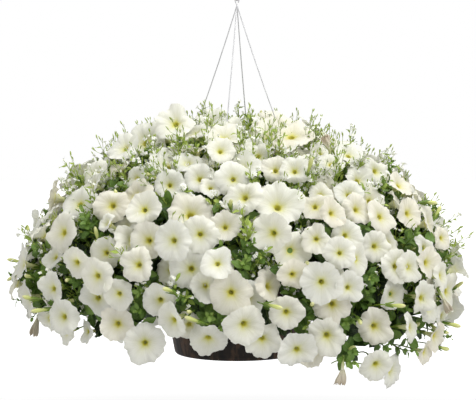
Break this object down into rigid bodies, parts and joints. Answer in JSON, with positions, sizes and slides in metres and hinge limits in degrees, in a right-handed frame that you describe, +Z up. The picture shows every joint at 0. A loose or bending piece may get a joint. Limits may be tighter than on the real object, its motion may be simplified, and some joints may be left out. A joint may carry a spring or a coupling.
{
  "type": "hanging flower basket",
  "caption": "Round tapered plastic pot hung from a wire hook by wire strands, overflowing with a dome of trailing white petunias and fine white filler.",
  "frame": {"origin": "the hook's seat: the point inside the top of its bend that rests on the support", "axes": "+Z up along the basket's vertical axis; -Y is the front, where the pot shows below the growth; +X is to the right as seen from the front, across the basket's widest growth"},
  "size_m": [0.7696, 0.6198, 0.7058],
  "materials": {
    "hook_wire": "dull dark grey wire, lightly weathered",
    "galvanised_wire": "galvanised wire with a soft grey sheen",
    "pot_plastic": "very dark brown moulded plastic, faintly streaked, with a satin sheen",
    "growing_medium": "moist peat and bark mix, rough and matte",
    "petunia_growth": "soft white petals with yellow-green throats over ovate green leaves",
    "filler_growth": "fine green sprigs with tiny white flowers",
    "green_stems": "matte green stems, finely hairy"
  },
  "bodies": {
    "hook": {"hook": "hook_wire"},
    "gather_link": {"gather_link": "hook_wire"},
    "basket": {"hanger_strand_1": "galvanised_wire", "hanger_strand_2": "galvanised_wire", "hanger_strand_3": "galvanised_wire", "hanger_strand_4": "galvanised_wire", "pot": "pot_plastic", "growing_medium": "growing_medium", "petunia_stems_right": "green_stems", "petunia_stems_back_right": "green_stems", "petunia_stems_back_left": "green_stems", "petunia_stems_left": "green_stems", "petunia_stems_front_left": "green_stems", "petunia_stems_front_right": "green_stems", "petunia_mound_right": "petunia_growth", "petunia_mound_back_right": "petunia_growth", "petunia_mound_back_left": "petunia_growth", "petunia_mound_left": "petunia_growth", "petunia_mound_front_left": "petunia_growth", "petunia_mound_front_right": "petunia_growth", "petunia_trail_right": "petunia_growth", "petunia_trail_back_right": "petunia_growth", "petunia_trail_back_left": "petunia_growth", "petunia_trail_left": "petunia_growth", "petunia_trail_front_left": "petunia_growth", "petunia_trail_front_right": "petunia_growth", "filler_stems_back_right": "green_stems", "filler_stems_back_left": "green_stems", "filler_stems_front_left": "green_stems", "filler_stems_front_right": "green_stems", "filler_mound_back_right": "filler_growth", "filler_mound_back_left": "filler_growth", "filler_mound_front_left": "filler_growth", "filler_mound_front_right": "filler_growth"}
  },
  "joints": [
    {"name": "link_swing", "type": "hinge", "parent": "hook", "child": "gather_link", "pos_m": [0, 0, -0.06], "axis": [1, 0, 0], "range_deg": [-30, 30]},
    {"name": "basket_swing", "type": "hinge", "parent": "gather_link", "child": "basket", "pos_m": [0, 0, -0.0713], "axis": [0, 1, 0], "range_deg": [-30, 30]}
  ]
}
